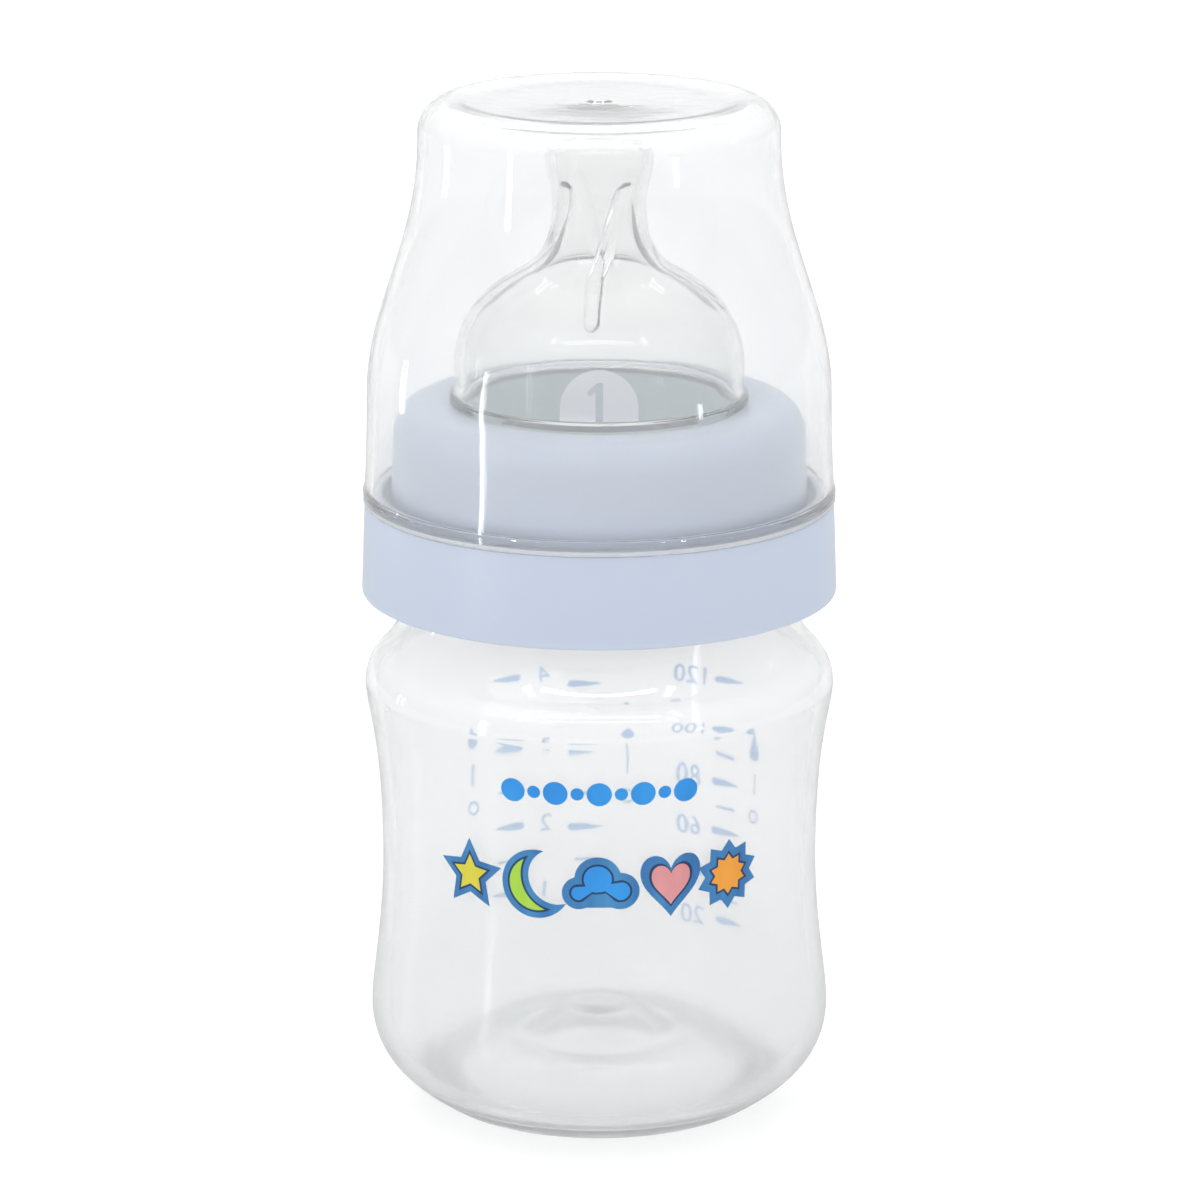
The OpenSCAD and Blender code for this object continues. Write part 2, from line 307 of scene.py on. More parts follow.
def thread(azimuth, z, low_z):
    """The height at one place of the helical ridge that starts at a height."""
    turned = math.degrees(azimuth) % 360
    best = 0
    for a in (turned, turned + 360):
        if a <= THREAD_TURN:
            off = abs(z - low_z - PITCH * a / 360)
            side = smooth_step((THREAD_ROOT - off) / (THREAD_ROOT - THREAD_CREST))
            end = smooth_step(min(a, THREAD_TURN - a) / 24)
            best = max(best, THREAD_HEIGHT * side * end)
    return best


def make_bottle(material):
    neck_top = eased([(NECK_R, RIM_Z - 0.8), (NECK_R, RIM_Z), (BORE_R, RIM_Z), (BORE_R, RIM_Z - 0.8)], 0.5)
    side = BODY_SIDE + straight((NECK_R, NECK_ROOT_Z), (NECK_R, RIM_Z - 0.8), 0.25)[1:]
    outside = eased(UNDERSIDE + side[1:], 0.4)
    bore = straight((BORE_R, RIM_Z - 0.8), (BORE_R, NECK_ROOT_Z), 2)[1:]
    line = outside + neck_top + bore + LINING[::-1]

    def swell(a, r, z, i):
        return thread(a, z, THREAD_Z) if i < len(outside) and z > THREAD_Z - 2 else 0

    mesh = lathe("bottle_wall", line, swell=swell)
    add_object("bottle_wall", mesh, "bottle", material, "bottle", slot="clear_pp")


def make_ring(material):
    skirt_top = SKIRT_R - 0.5
    skirt_in = SKIRT_R - LEDGE_IN
    plate_low = RING_Z - PLATE
    corner = RING_R - RING_ROUND
    top = [(HOLE_R, plate_low), (HOLE_R, RING_Z), (corner - 0.2, RING_Z)]
    top = eased(top, 0.4)[:-1] + bend((corner - 0.2, RING_Z), (corner + 2.2, RING_Z),
                                      (RING_R - 0.2, RING_Z - 1.8), (RING_R - 0.2, RING_Z - RING_ROUND), 16)
    outside = [(RING_R - 0.2, RING_Z - RING_ROUND), (RING_R, LEDGE_Z),
               (SNAP_R - 1, LEDGE_Z), (SNAP_R - 1, LEDGE_Z + 1.7), (SNAP_R, LEDGE_Z + 1.7), (SNAP_R, LEDGE_Z),
               (skirt_top, LEDGE_Z), (SKIRT_R, SKIRT_Z), (skirt_in, SKIRT_Z),
               (skirt_in, LEDGE_Z - 1.8), (SLEEVE_R + 1.6, LEDGE_Z - 1.8), (SLEEVE_R + 1.4, SLEEVE_LOW)]
    sleeve = straight((SLEEVE_R, SLEEVE_LOW), (SLEEVE_R, plate_low - 2.2), 0.25)
    inside = [(SLEEVE_R, plate_low - 2.2), (FLANGE_R + 0.2, plate_low)]
    line = eased(top + outside + sleeve + inside, 0.35, closed=True)

    def swell(a, r, z, i):
        return -thread(a, z, THREAD_Z - THREAD_OFFSET) if abs(r - SLEEVE_R) < 0.01 else 0

    mesh = lathe("ring_shell", line, closed=True, swell=swell)
    add_object("ring_shell", mesh, "ring", material, "screw_ring", slot="blue_pp")


def teat_side():
    """The outside of the silicone from the flare up to the tip."""
    neck = (10.6, RING_Z + 18.4)
    waist = (STEM_R, RING_Z + 27.6)
    bulb = (STEM_R + 1, TIP_Z - 4.6)
    base = (DOME_R, RING_Z + 4.8)
    flare = (FLARE_R - 0.4, RING_Z + 1.4)
    return (bend(flare, (DOME_R - 0.3, RING_Z + 2.6), (DOME_R, RING_Z + 3.4), base, 12)
            + bend(base, (DOME_R, RING_Z + 12), (16, RING_Z + 15.6), neck, 48)
            + bend(neck, (7.8, RING_Z + 19.9), (STEM_R, RING_Z + 23.4), waist, 48)
            + bend(waist, (STEM_R, RING_Z + 31), (bulb[0], TIP_Z - 7.6), bulb, 24)
            + bend(bulb, (bulb[0], TIP_Z - 1.2), (3.8, TIP_Z), (TIP_HOLE_R, TIP_Z))
            + [(TIP_HOLE_R, TIP_Z)])


def rib(azimuth, r, z):
    """How far a rib stands in from the teat's lining at one place."""
    s = (z - RIB_LOW) / (RIB_HIGH - RIB_LOW)
    past = max(RIB_LOW + RIB_HALF - z, z - RIB_HIGH + RIB_HALF, 0)
    twist = RIB_TWIST * max(0, s - 0.3) / 0.7
    apart = 360 / RIBS
    off = (math.degrees(azimuth) - RIB_AZIMUTH - twist + apart / 2) % apart - apart / 2
    away = (past ** 2 + (math.radians(off) * r) ** 2) / RIB_HALF ** 2
    return RIB_H * (1 - away) ** 0.8 if away < 1 else 0


def make_teat(material, matt):
    side = teat_side()
    lining = [p for p in shifted(side, TEAT_WALL) if p[0] > 0.3]
    foot = [(THROAT_R, RING_Z - 0.4), (THROAT_R, RIM_Z - 3.4), (THROAT_R + 1.2, RIM_Z - 3.4),
            (THROAT_R + 1.9, RIM_Z - 1), (BORE_R - 1.2, RIM_Z - 1), (BORE_R - 0.4, RIM_Z),
            (FLANGE_R, RIM_Z), (FLANGE_R, RING_Z - PLATE),
            (HOLE_R - 0.1, RING_Z - PLATE), (HOLE_R - 0.1, RING_Z + 0.1),
            (FLARE_R, RING_Z + 0.1), (FLARE_R, RING_Z + 1.2)]
    outer = eased(foot + side, 0.3)
    inner = [(TIP_HOLE_R, lining[-1][1])] + lining[::-1]

    def swell(a, r, z, i):
        return -rib(a, r, z) if i > len(outer) else 0

    mesh = lathe("teat_skin", outer + inner, closed=True, steps=400, swell=swell)
    add_object("teat_skin", mesh, "teat", material, "teat", slot="silicone")
    second_material(mesh, matt, RING_Z - 0.2)


def make_cap(material, milky):
    side = (bend((CAP_R + 0.5, LEDGE_Z + LIP_H), (CAP_R + 0.2, LEDGE_Z + 5), (CAP_R + 0.1, RING_Z - 3),
                 (CAP_R, RING_Z + 2))
            + bend((CAP_R, RING_Z + 2), (CAP_R - 0.3, RING_Z + 14), (CROWN_R, CAP_Z - 20),
                   (CROWN_R, CAP_Z - 5), 48)
            + bend((CROWN_R, CAP_Z - CROWN_ROUND), (CROWN_R, CAP_Z - 2), (CROWN_R - 2.2, CAP_Z),
                   (CROWN_R - CROWN_ROUND, CAP_Z), 20))
    dish = bend((RECESS_R + 0.7, CAP_Z), (RECESS_R - 0.9, CAP_Z), (RECESS_R - 1.1, CAP_Z - RECESS),
                (RECESS_R - 3.6, CAP_Z - RECESS), 16)
    gate = [(1.9, CAP_Z - RECESS), (1.3, CAP_Z - RECESS + 0.25), (0, CAP_Z - RECESS + 0.25)]
    outside = side + dish + [(RECESS_R - 3.6, CAP_Z - RECESS)]
    lining = shifted(outside, CAP_WALL)
    top_inside = [(0, CAP_Z - RECESS - CAP_WALL)]
    lip = [(SNAP_R + 0.1, LEDGE_Z + LIP_H), (SNAP_R + 0.1, LEDGE_Z + LIP_EDGE), (SNAP_R + 0.1, LEDGE_Z),
           (LIP_R, LEDGE_Z), (LIP_R, LEDGE_Z + LIP_EDGE), (LIP_R, LEDGE_Z + LIP_H - 0.3)]
    line = top_inside + lining[::-1] + lip + outside + gate
    mesh = lathe("cap_shell", eased(line, 0.4))
    add_object("cap_shell", mesh, "cap", material, "dome_cap", slot="cap_pp")
    second_material(mesh, milky, LEDGE_Z + LIP_EDGE + 0.1)


# ---------- print ----------

CELL = 0.5


def flat_mesh(loops, cell=CELL):
    """A flat filled drawing, cut into small cells so that it can be wrapped."""
    curve = bpy.data.curves.new("drawing", "CURVE")
    curve.dimensions = "2D"
    curve.fill_mode = "BOTH"
    for loop in loops:
        spline = curve.splines.new("POLY")
        spline.points.add(len(loop) - 1)
        for point, (x, y) in zip(spline.points, loop):
            point.co = (x, y, 0, 1)
        spline.use_cyclic_u = True
    return cut_up(curve, cell)


def text_mesh(text, size):
    """A filled line of figures, centred."""
    curve = bpy.data.curves.new("text", "FONT")
    curve.body = text
    curve.size = size
    curve.align_x = "CENTER"
    curve.align_y = "CENTER"
    curve.fill_mode = "BOTH"
    return cut_up(curve, CELL)


def cut_up(curve, cell):
    """The filled curve as a bmesh in millimetres, with edges no longer than a cell."""
    drawing = bpy.data.objects.new("drawing", curve)
    bpy.context.scene.collection.objects.link(drawing)
    graph = bpy.context.evaluated_depsgraph_get()
    mesh = drawing.evaluated_get(graph).to_mesh()
    bm = bmesh.new()
    bm.from_mesh(mesh)
    bpy.data.objects.remove(drawing)
    bpy.data.curves.remove(curve)
    bmesh.ops.remove_doubles(bm, verts=bm.verts, dist=1e-4)
    for axis in (0, 1):
        values = [v.co[axis] for v in bm.verts]
        across = Vector((axis == 0, axis == 1, 0))
        for k in range(math.ceil(min(values) / cell), math.ceil(max(values) / cell)):
            bmesh.ops.bisect_plane(bm, geom=bm.verts[:] + bm.edges[:] + bm.faces[:],
                                   plane_co=across * (k * cell), plane_no=across)
    return bm


def wrapped(bm, azimuth, z, lift, thick, surface=BODY_SIDE):
    """Wraps a flat drawing round the wall, its x running anticlockwise from above, and gives it thickness."""
    for v in bm.verts:
        height = z + v.co.y
        r = radius_at(surface, height)
        v.co = Vector((r, math.radians(azimuth) + v.co.x / r, height))
    faces = bm.faces[:]
    skin = bmesh.ops.extrude_face_region(bm, geom=faces, use_keep_orig=True)
    upper = {v for v in skin["geom"] if isinstance(v, bmesh.types.BMVert)}
    for v in bm.verts:
        r = v.co.x + lift + (thick if v in upper else 0)
        a = v.co.y
        v.co = Vector((r * math.cos(a), r * math.sin(a), v.co.z)) * MM
    bmesh.ops.recalc_face_normals(bm, faces=bm.faces)
    return bm


def joined(name, drawings):
    """One mesh of several bmeshes."""
    mesh = bpy.data.meshes.new(name)
    whole = bmesh.new()
    for bm in drawings:
        part = bpy.data.meshes.new("part")
        bm.to_mesh(part)
        bm.free()
        whole.from_mesh(part)
        bpy.data.meshes.remove(part)
    whole.to_mesh(mesh)
    whole.free()
    return mesh


INK_LIFT = 0.015
INK_THICK = 0.06


def printed(name, drawings, material, slot, *nodes):
    """One ink: each drawing is (flat bmesh, azimuth, height)."""
    skins = [wrapped(bm, azimuth, z, INK_LIFT, INK_THICK) for bm, azimuth, z in drawings]
    add_object(name, joined(name, skins), "bottle", material, *nodes, slot=slot)


def circle(x, y, r, start=0, end=360, n=48):
    """Points on an arc, with both its ends, or on a full circle, without its end."""
    points = []
    for k in range(n if end - start == 360 else n + 1):
        a = math.radians(start + (end - start) * k / n)
        points.append((x + r * math.cos(a), y + r * math.sin(a)))
    return points


def star(points, outer, inner, inset):
    """A star whose sides all stand the same distance inside the full one's."""
    corner = math.pi / points
    side = math.sqrt(outer ** 2 + inner ** 2 - 2 * outer * inner * math.cos(corner))
    size = 1 - inset * side / (outer * inner * math.sin(corner))
    line = []
    for i in range(2 * points):
        reach = (outer, inner)[i % 2] * size
        a = math.pi / 2 + i * corner
        line.append((reach * math.cos(a), reach * math.sin(a)))
    return line


def moon(inset):
    """A crescent, open to the right: one disc less another."""
    x = 1.2
    bite_x, bite_y = 2.9, 1.2
    r, bite = 4.9 - inset, 4 + inset
    apart = math.hypot(bite_x, bite_y)
    towards = math.degrees(math.atan2(bite_y, bite_x))
    a = math.degrees(math.acos((apart ** 2 + r ** 2 - bite ** 2) / (2 * apart * r)))
    b = math.degrees(math.acos((apart ** 2 + bite ** 2 - r ** 2) / (2 * apart * bite)))
    back = circle(x, 0, r, towards + a, towards + 360 - a, 60)
    return back + circle(x + bite_x, bite_y, bite, towards + 180 + b, towards + 180 - b, 40)[1:-1]


def heart(inset):
    """A heart: two arcs that meet in a notch, over a pointed foot."""
    size = 1 - inset / 3.6
    right = [(0, 2.1)] + bend((0, 2.1), (0.9, 4.9), (4.3, 4.7), (4.3, 1.7), 20)[1:]
    right += bend((4.3, 1.7), (4.3, -0.9), (1.6, -2.4), (0, -4.8), 20)
    left = [(-x, y) for x, y in right[:0:-1]]
    return [(x * size, y * size) for x, y in right + [(0, -4.8)] + left]


def cloud(inset):
    """Three round heads on a flat foot."""
    foot = -3.3 + inset
    heads = [(-2.8, -1, 2.3 - inset), (-0.2, 1, 3.2 - inset), (2.9, -0.7, 2.6 - inset)]
    line = []
    for k in range(121):
        a = math.radians(-60 + 300 * k / 120)
        reach = 0
        for x, y, r in heads:
            along = x * math.cos(a) + y * math.sin(a)
            across = r * r - (x * x + y * y - along * along)
            reach = max(reach, along + math.sqrt(across) if across > 0 else 0)
        line.append((reach * math.cos(a), max(reach * math.sin(a), foot)))
    return line


MOTIF_Z = 39.5
LINE_W = 0.3
DOTS_Z = 52.9
DOT_STEP = 5.4
# Azimuth, width of the band, outline at an inset, colour of the fill
MOTIF = [
    (-125, 0.75, lambda inset: star(5, 5.2, 2.6, inset), "yellow"),
    (-108.5, 0.8, moon, "lime"),
    (-90, 1.0, cloud, "sky"),
    (-71.5, 1.0, heart, "pink"),
    (-55, 1.0, lambda inset: star(10, 5, 3.7, inset), "orange"),
]


def make_motif(inks):
    """A row of dots over five shapes, each a blue band, a dark line within it and a coloured fill."""
    bands, lines, sky = [], [], []
    for i in range(-4, 5):
        dot = circle(0, 0, 1.7 if i % 2 == 0 else 0.9)
        sky.append((flat_mesh([dot]), -90 + DOT_STEP * i, DOTS_Z))
    for azimuth, band, shape, colour in MOTIF:
        bands.append((flat_mesh([shape(0), shape(band)]), azimuth, MOTIF_Z))
        lines.append((flat_mesh([shape(band), shape(band + LINE_W)]), azimuth, MOTIF_Z))
        fill = (flat_mesh([shape(band + LINE_W)]), azimuth, MOTIF_Z)
        if colour == "sky":
            sky.append(fill)
        else:
            slot = "ink_" + colour
            printed(colour + "_ink", [fill], inks[slot], slot, colour + "_print")
    printed("outline_ink", bands, inks["ink_blue"], "ink_blue", "outline_print")
    printed("contour_ink", lines, inks["ink_line"], "ink_blue")
    printed("sky_ink", sky, inks["ink_sky"], "ink_sky", "sky_print")


def main_mark(length, side):
    """A scale's thick mark: a blunt end and a leaf's point, which lies to the right where side is 1."""
    r = 0.58
    tip = (length / 2, 0)
    blunt = circle(r - length / 2, 0, r, 90, 270, 16)
    below = bend((r - length / 2, -r), (0.1 * length, -r), (0.3 * length, -0.3 * r), tip, 10)[1:]
    above = [(x, -y) for x, y in below[::-1]]
    return [(x * side, y) for x, y in blunt + below + [tip] + above]


def bar(half_width, half_height):
    return [(-half_width, -half_height), (half_width, -half_height),
            (half_width, half_height), (-half_width, half_height)]


def unit_sign(azimuth):
    """A drop, a dash and a ring, in place of a unit."""
    drop = circle(0, -0.5, 1, 150, 390, 24) + [(0, 1.9)]
    ring = [circle(0, 0, 1.1), circle(0, 0, 0.75)]
    return [(flat_mesh([drop]), azimuth, 43.5), (flat_mesh([bar(0.16, 1.6)]), azimuth, 38.6),
            (flat_mesh(ring), azimuth, 33.6)]


def scale_marks(azimuth, main, minor, length, side):
    """Thick and thin marks in one column, at two lists of millilitres."""
    marks = [(flat_mesh([main_mark(length, side)]), azimuth, mark_z(ml)) for ml in main]
    return marks + [(flat_mesh([bar(1.7, 0.2)]), azimuth, mark_z(ml)) for ml in minor]


def scale_numerals(azimuth, size, numerals, ml_each):
    return [(text_mesh(str(n), size), azimuth, mark_z(n * ml_each)) for n in numerals]


US_OZ = 29.57
UK_OZ = 28.41


def make_scales(ink):
    """Millilitres, US ounces with numerals and UK ounces without."""
    ml = range(20, 121, 20)
    oz = range(1, 5)
    half_oz = (1.5, 2.5)
    columns = {
        "ml": (scale_marks(51, ml, range(30, 91, 20), 5.6, -1) + scale_numerals(63.5, 4.3, ml, 1)
               + unit_sign(39.5)),
        "us_oz": (scale_marks(117, [n * US_OZ for n in oz], [n * US_OZ for n in half_oz], 5.4, 1)
                  + scale_numerals(105.5, 3.8, oz, US_OZ) + unit_sign(129)),
        "uk_oz": (scale_marks(94, [n * UK_OZ for n in oz], [n * UK_OZ for n in half_oz], 5.4, -1)
                  + unit_sign(82)),
    }
    for unit, marks in columns.items():
        printed(unit + "_scale_ink", marks, ink, "ink_scale", unit + "_scale_print")


def make_tab(material):
    """The frosted patch at the foot of the dome, with its numeral left clear."""
    half_width, low_z, arch_z = 5.3, 101.7, 103.4
    foot = low_z - arch_z
    patch = [(-half_width, foot), (half_width, foot)] + circle(0, 0, half_width, 0, 180, 40)
    one = [(-0.5, -1.6), (0.5, -1.6), (0.5, 3.6), (-0.3, 3.6), (-1.7, 2.3), (-1.3, 1.75), (-0.5, 2.4)]
    bm = flat_mesh([patch, one], 0.4)
    rising = [p for p in teat_side() if p[1] < RING_Z + 17]
    wrapped(bm, -90, arch_z, 0.01, 0.05, rising)
    add_object("flow_tab", joined("flow_tab", [bm]), "teat", material, slot="silicone")


# ---------- materials ----------

PP_IOR = 1.49
SILICONE_IOR = 1.41


def new_material(name):
    """A material with its nodes, its links, its shader and its coordinates."""
    material = bpy.data.materials.new(name)
    material.use_nodes = True
    nodes = material.node_tree.nodes
    shader = nodes["Principled BSDF"]
    coords = nodes.new("ShaderNodeTexCoord")
    return material, nodes, material.node_tree.links, shader, coords


def add_noise(nodes, links, coords, scale, stretch=(1, 1, 1), detail=4):
    """A noise in object space, as a socket."""
    mapping = nodes.new("ShaderNodeMapping")
    mapping.inputs["Scale"].default_value = stretch
    noise = nodes.new("ShaderNodeTexNoise")
    noise.inputs["Scale"].default_value = scale
    noise.inputs["Detail"].default_value = detail
    links.new(coords.outputs["Object"], mapping.inputs["Vector"])
    links.new(mapping.outputs["Vector"], noise.inputs["Vector"])
    return noise.outputs["Fac"]


def add_range(nodes, links, source, start, end, low_value, high_value):
    """A socket that goes from one value to another as a socket goes from start to end."""
    spread = nodes.new("ShaderNodeMapRange")
    spread.inputs["From Min"].default_value = start
    spread.inputs["From Max"].default_value = end
    spread.inputs["To Min"].default_value = low_value
    spread.inputs["To Max"].default_value = high_value
    links.new(source, spread.inputs["Value"])
    return spread.outputs["Result"]


def add_height(nodes, links, coords, low_z, high_z, low_value, high_value):
    """A socket that changes with the height above the table."""
    split = nodes.new("ShaderNodeSeparateXYZ")
    links.new(coords.outputs["Object"], split.inputs[0])
    return add_range(nodes, links, split.outputs["Z"], low_z * MM, high_z * MM, low_value, high_value)


def vary(nodes, links, noise, socket, low_value, high_value):
    """Drives a shader's number between two values by a noise."""
    links.new(add_range(nodes, links, noise, 0.3, 0.7, low_value, high_value), socket)


def add_bump(nodes, links, noise, shader, distance):
    bump = nodes.new("ShaderNodeBump")
    bump.inputs["Strength"].default_value = 1
    bump.inputs["Distance"].default_value = distance
    links.new(noise, bump.inputs["Height"])
    links.new(bump.outputs["Normal"], shader.inputs["Normal"])


def add_tint(nodes, links, source, shader, dark, light):
    """Varies the base colour between two colours."""
    ramp = nodes.new("ShaderNodeValToRGB")
    for stop, place, colour in zip(ramp.color_ramp.elements, (0.3, 0.7), (dark, light)):
        stop.position = place
        stop.color = (*colour, 1)
    links.new(source, ramp.inputs["Fac"])
    links.new(ramp.outputs["Color"], shader.inputs["Base Color"])


def clear_plastic(name, dark, light, ior, clearness, rough, density, base_clearness=None):
    """A see-through moulding with haze, flow marks and an uneven skin; a blown one is dull at its foot."""
    material, nodes, links, shader, coords = new_material(name)
    haze = add_noise(nodes, links, coords, 60, (1, 1, 0.35))
    skin = add_noise(nodes, links, coords, 220, (1, 1, 0.5), 2)
    add_tint(nodes, links, haze, shader, dark, light)
    add_bump(nodes, links, skin, shader, 0.00002)
    clear, dull = shader.inputs["Transmission Weight"], shader.inputs["Roughness"]
    clear.default_value = clearness
    if base_clearness:
        links.new(add_height(nodes, links, coords, 0, WAIST[1], base_clearness, clearness), clear)
        links.new(add_height(nodes, links, coords, 0, WAIST[1], 3 * rough, rough), dull)
    else:
        vary(nodes, links, haze, dull, rough * 0.6, rough * 1.5)
    shader.inputs["IOR"].default_value = ior
    depth = nodes.new("ShaderNodeVolumeAbsorption")
    depth.inputs["Color"].default_value = (0.1, 0.2, 0.3, 1)
    depth.inputs["Density"].default_value = density
    links.new(depth.outputs["Volume"], nodes["Material Output"].inputs["Volume"])
    return material


def ring_plastic():
    """Pale blue plastic, painted lighter above the ledge, under the cap: painted light that makes up for the
    shade the cap casts there.
    """
    material, nodes, links, shader, coords = new_material("blue_polypropylene")
    flow = add_noise(nodes, links, coords, 45, (1, 1, 0.3))
    skin = add_noise(nodes, links, coords, 400, detail=2)
    # Painted light: the tint rises from dark below the ledge to light above it, to offset the cap's shade on
    # the ring.
    rise = add_height(nodes, links, coords, LEDGE_Z - 1.5, LEDGE_Z + 5, 0, 1)
    add_tint(nodes, links, rise, shader, (0.49, 0.55, 0.66), (0.7, 0.775, 0.92))
    vary(nodes, links, flow, shader.inputs["Roughness"], 0.3, 0.38)
    add_bump(nodes, links, skin, shader, 0.00001)
    shader.inputs["IOR"].default_value = PP_IOR
    shader.inputs["Subsurface Weight"].default_value = 0.35
    shader.inputs["Subsurface Radius"].default_value = (1, 1, 1)
    shader.inputs["Subsurface Scale"].default_value = 0.002
    return material


def ink(name, dark, light, clearness=0.15):
    """Printed ink with the faint streaks of its squeegee; thin ink lets some light through."""
    material, nodes, links, shader, coords = new_material(name)
    streaks = add_noise(nodes, links, coords, 300, (1, 1, 0.2))
    add_tint(nodes, links, streaks, shader, dark, light)
    vary(nodes, links, streaks, shader.inputs["Roughness"], 0.32, 0.48)
    add_bump(nodes, links, streaks, shader, 0.000004)
    shader.inputs["Transmission Weight"].default_value = clearness
    return material


def frosted(name, colour, clearness, ior):
    """A matt or milky version of a clear plastic."""
    material, nodes, links, shader, coords = new_material(name)
    grain = add_noise(nodes, links, coords, 2500, detail=3)
    vary(nodes, links, grain, shader.inputs["Roughness"], 0.45, 0.7)
    add_bump(nodes, links, grain, shader, 0.00002)
    shader.inputs["Base Color"].default_value = (*colour, 1)
    shader.inputs["Transmission Weight"].default_value = clearness
    shader.inputs["IOR"].default_value = ior
    return material


# Dark and light streaks, and how clear the ink is
INKS = {
    "ink_sky": ((0.01, 0.26, 0.74), (0.02, 0.32, 0.82)),
    "ink_blue": ((0.018, 0.14, 0.4), (0.05, 0.27, 0.56)),
    "ink_line": ((0.004, 0.03, 0.1), (0.008, 0.05, 0.16)),
    "ink_yellow": ((0.66, 0.6, 0.03), (0.74, 0.68, 0.06)),
    "ink_lime": ((0.34, 0.64, 0.03), (0.42, 0.7, 0.06)),
    "ink_pink": ((0.7, 0.26, 0.28), (0.76, 0.34, 0.35)),
    "ink_orange": ((0.83, 0.32, 0.02), (0.9, 0.4, 0.05)),
    "ink_scale": ((0.32, 0.6, 0.95), (0.38, 0.66, 0.99), 0.85),
}


# ---------- studio ----------

def less_in_reflections(nodes, links, direct, mirrored):
    """A socket with another value for rays that have just been reflected by something glossy."""
    path = nodes.new("ShaderNodeLightPath")
    reflected = nodes.new("ShaderNodeMath")
    reflected.operation = "SUBTRACT"
    links.new(path.outputs["Is Glossy Ray"], reflected.inputs[0])
    links.new(path.outputs["Is Transmission Ray"], reflected.inputs[1])
    return add_range(nodes, links, reflected.outputs["Value"], 0, 1, direct, mirrored)


def make_floor():
    """A white table, partly lit from below, which shows dimmer in reflections."""
    half = 4.0
    corners = [(-half, -half, 0), (half, -half, 0), (half, half, 0), (-half, half, 0)]
    mesh = bpy.data.meshes.new("floor")
    mesh.from_pydata(corners, [], [(0, 1, 2, 3)])
    floor = bpy.data.objects.new("floor", mesh)
    floor.location.z = -0.0002
    bpy.context.scene.collection.objects.link(floor)
    material, nodes, links, shader, coords = new_material("floor_white")
    grain = add_noise(nodes, links, coords, 3)
    add_tint(nodes, links, grain, shader, (0.15, 0.15, 0.15), (0.17, 0.17, 0.17))
    shader.inputs["Roughness"].default_value = 0.3
    shader.inputs["Emission Color"].default_value = (1, 1, 1, 1)
    links.new(less_in_reflections(nodes, links, 0.78, 0.4), shader.inputs["Emission Strength"])
    mesh.materials.append(material)


def make_world():
    """White light from all round, brightest behind and above, which shows dimmer in reflections."""
    world = bpy.data.worlds.new("studio")
    bpy.context.scene.world = world
    world.use_nodes = True
    nodes, links = world.node_tree.nodes, world.node_tree.links
    background = nodes["Background"]
    coords = nodes.new("ShaderNodeTexCoord")
    behind = nodes.new("ShaderNodeVectorMath")
    behind.operation = "DOT_PRODUCT"
    behind.inputs[1].default_value = (0, 0.965, 0.26)
    links.new(coords.outputs["Generated"], behind.inputs[0])
    dimmed = nodes.new("ShaderNodeMath")
    dimmed.operation = "MULTIPLY"
    links.new(add_range(nodes, links, behind.outputs["Value"], 0.8, 0.97, 1.02, 1.15), dimmed.inputs[0])
    links.new(less_in_reflections(nodes, links, 1.0, 0.68), dimmed.inputs[1])
    links.new(dimmed.outputs["Value"], background.inputs["Color"])
    split = nodes.new("ShaderNodeSeparateXYZ")
    links.new(coords.outputs["Generated"], split.inputs[0])
    links.new(add_range(nodes, links, split.outputs["Z"], 0.1, 1, 1.0, 1.6), background.inputs["Strength"])


def add_light(name, place, target, size, power, soft=False):
    """A rectangular lamp that faces a point; only a soft one lights matt surfaces."""
    data = bpy.data.lights.new(name, "AREA")
    data.shape = "RECTANGLE"
    data.size, data.size_y = size
    data.energy = power
    lamp = bpy.data.objects.new(name, data)
    lamp.location = place
    lamp.rotation_euler = (Vector(target) - Vector(place)).to_track_quat("-Z", "Y").to_euler()
    lamp.visible_diffuse = soft
    bpy.context.scene.collection.objects.link(lamp)


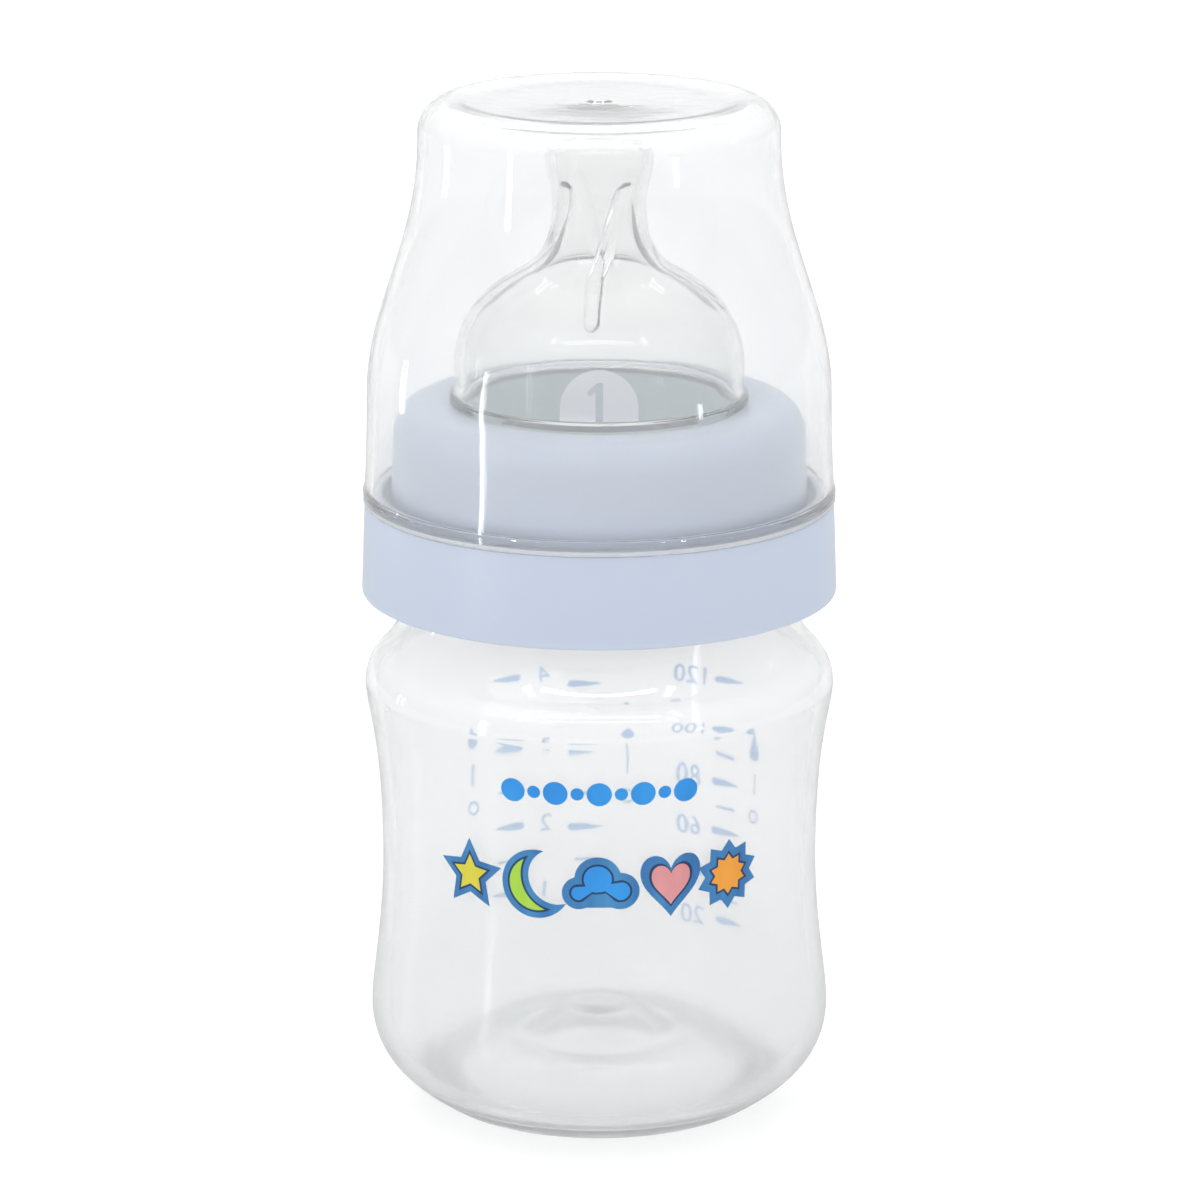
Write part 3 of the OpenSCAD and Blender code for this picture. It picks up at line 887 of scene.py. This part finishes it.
def make_lights():
    """A frame of bars overhead, narrow strips at the sides and a soft key at the front left."""
    centre = (0, 0, 0.08)
    thin = 0.025
    add_light("bar_front", (0, -0.42, 0.62), centre, (0.64, thin), 1.5)
    add_light("bar_back", (0, 0.42, 0.62), centre, (0.64, thin), 1.0)
    for side in (-1, 1):
        add_light(f"bar_side_{side}", (side * 0.37, -0.34, 0.62), centre, (thin, 0.13), 0.35)
    add_light("strip_left", (-0.27, -0.18, 0.085), (0, 0, 0.085), (0.009, 0.17), 0.07)
    add_light("strip_back_left", (-0.285, 0.1, 0.08), (0, 0, 0.08), (0.006, 0.07), 0.02)
    add_light("spot_right", (0.22, -0.2, 0.1), (0, 0, 0.1), (0.01, 0.03), 0.01)
    add_light("key", (-0.55, -0.5, 1.1), centre, (0.9, 0.9), 1.6, soft=True)


def make_camera():
    """The view of the front from a little above."""
    data = bpy.data.cameras.new("camera")
    data.sensor_width = 36
    data.lens = 149.1
    camera = bpy.data.objects.new("camera", data)
    camera.location = (0.0001, -0.6696, 0.2570)
    camera.rotation_euler = (math.radians(90 - 15.5), 0, 0)
    bpy.context.scene.collection.objects.link(camera)
    bpy.context.scene.camera = camera


def see_through_layers():
    """Lets light pass all the walls that lie one behind another."""
    cycles = bpy.context.scene.cycles
    cycles.max_bounces = 32
    cycles.transmission_bounces = 32
    cycles.glossy_bounces = 12


# ---------- the scene ----------

make_camera()
make_world()
make_lights()
make_floor()
bpy.context.scene.view_settings.view_transform = "Standard"
see_through_layers()

bottle_pp = clear_plastic("bottle_polypropylene", (0.975, 0.982, 0.987), (0.988, 0.993, 0.996), PP_IOR,
                          clearness=0.87, rough=0.05, density=9, base_clearness=0.74)
cap_pp = clear_plastic("cap_polypropylene", (0.97, 0.977, 0.982), (0.987, 0.992, 0.995), PP_IOR,
                       clearness=0.9, rough=0.04, density=12)
silicone = clear_plastic("silicone", (0.985, 0.985, 0.975), (0.998, 0.998, 0.99), SILICONE_IOR,
                         clearness=0.95, rough=0.05, density=3)
milky_pp = frosted("milky_polypropylene", (0.93, 0.95, 0.98), 0.6, PP_IOR)
# Painted light: the teat's matt throat is given a pale blue, which stands in for the blue ring's light in the
# shaded hole.
matt_silicone = frosted("matt_silicone", (0.8, 0.93, 1.0), 0.05, SILICONE_IOR)
tab_silicone = frosted("tab_silicone", (0.95, 0.97, 1.0), 0.4, SILICONE_IOR)
inks = {name: ink(name, *colours) for name, colours in INKS.items()}

make_bottle(bottle_pp)
make_ring(ring_plastic())
make_teat(silicone, matt_silicone)
make_tab(tab_silicone)
make_cap(cap_pp, milky_pp)
make_motif(inks)
make_scales(inks["ink_scale"])
